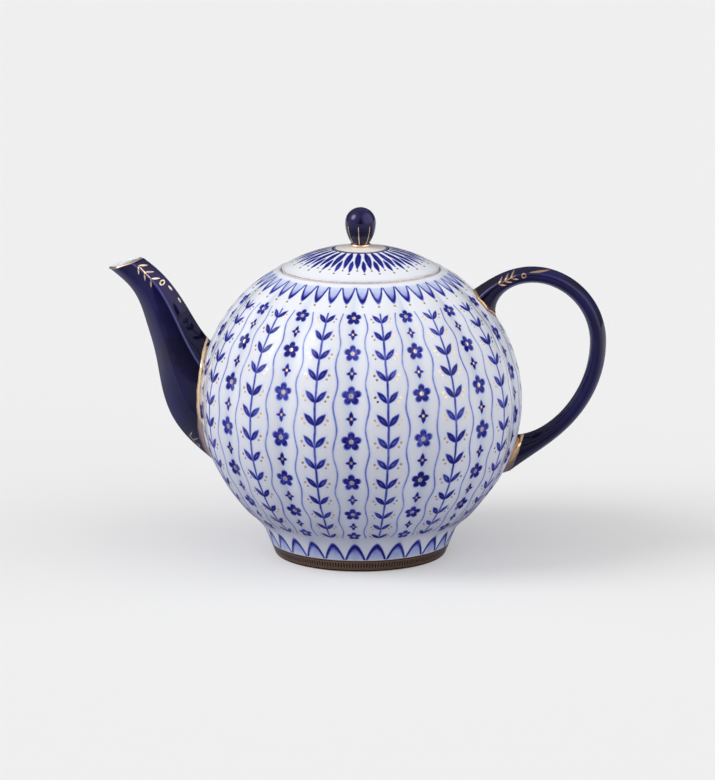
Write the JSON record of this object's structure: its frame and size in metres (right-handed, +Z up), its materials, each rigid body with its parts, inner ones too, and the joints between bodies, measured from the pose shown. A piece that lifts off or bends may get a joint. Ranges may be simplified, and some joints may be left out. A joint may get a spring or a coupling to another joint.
{
  "type": "porcelain teapot",
  "caption": "Round lobed porcelain teapot with a foot ring, a six-sided spout, an ear handle and a loose domed lid with an egg-shaped knob, painted in cobalt blue and gold.",
  "frame": {"origin": "centre of the foot ring, on the surface the pot stands on", "axes": "+Z up along the body's axis, -X towards the spout, +X towards the handle, +Y completes the right hand"},
  "size_m": [0.1783, 0.1146, 0.1257],
  "materials": {
    "painted_white_glaze": "white glaze over underglaze cobalt painting, with burnished gold",
    "cobalt_glaze": "deep cobalt glaze with burnished gold lines"
  },
  "bodies": {
    "pot": {"pot_body": "painted_white_glaze", "spout": "cobalt_glaze", "handle": "cobalt_glaze"},
    "lid": {"lid": "painted_white_glaze", "lid_knob": "cobalt_glaze"}
  },
  "joints": [
    {"name": "lid_lift", "type": "slide", "parent": "pot", "child": "lid", "axis": [0, 0, 1], "range_m": [0, 0.08]}
  ]
}
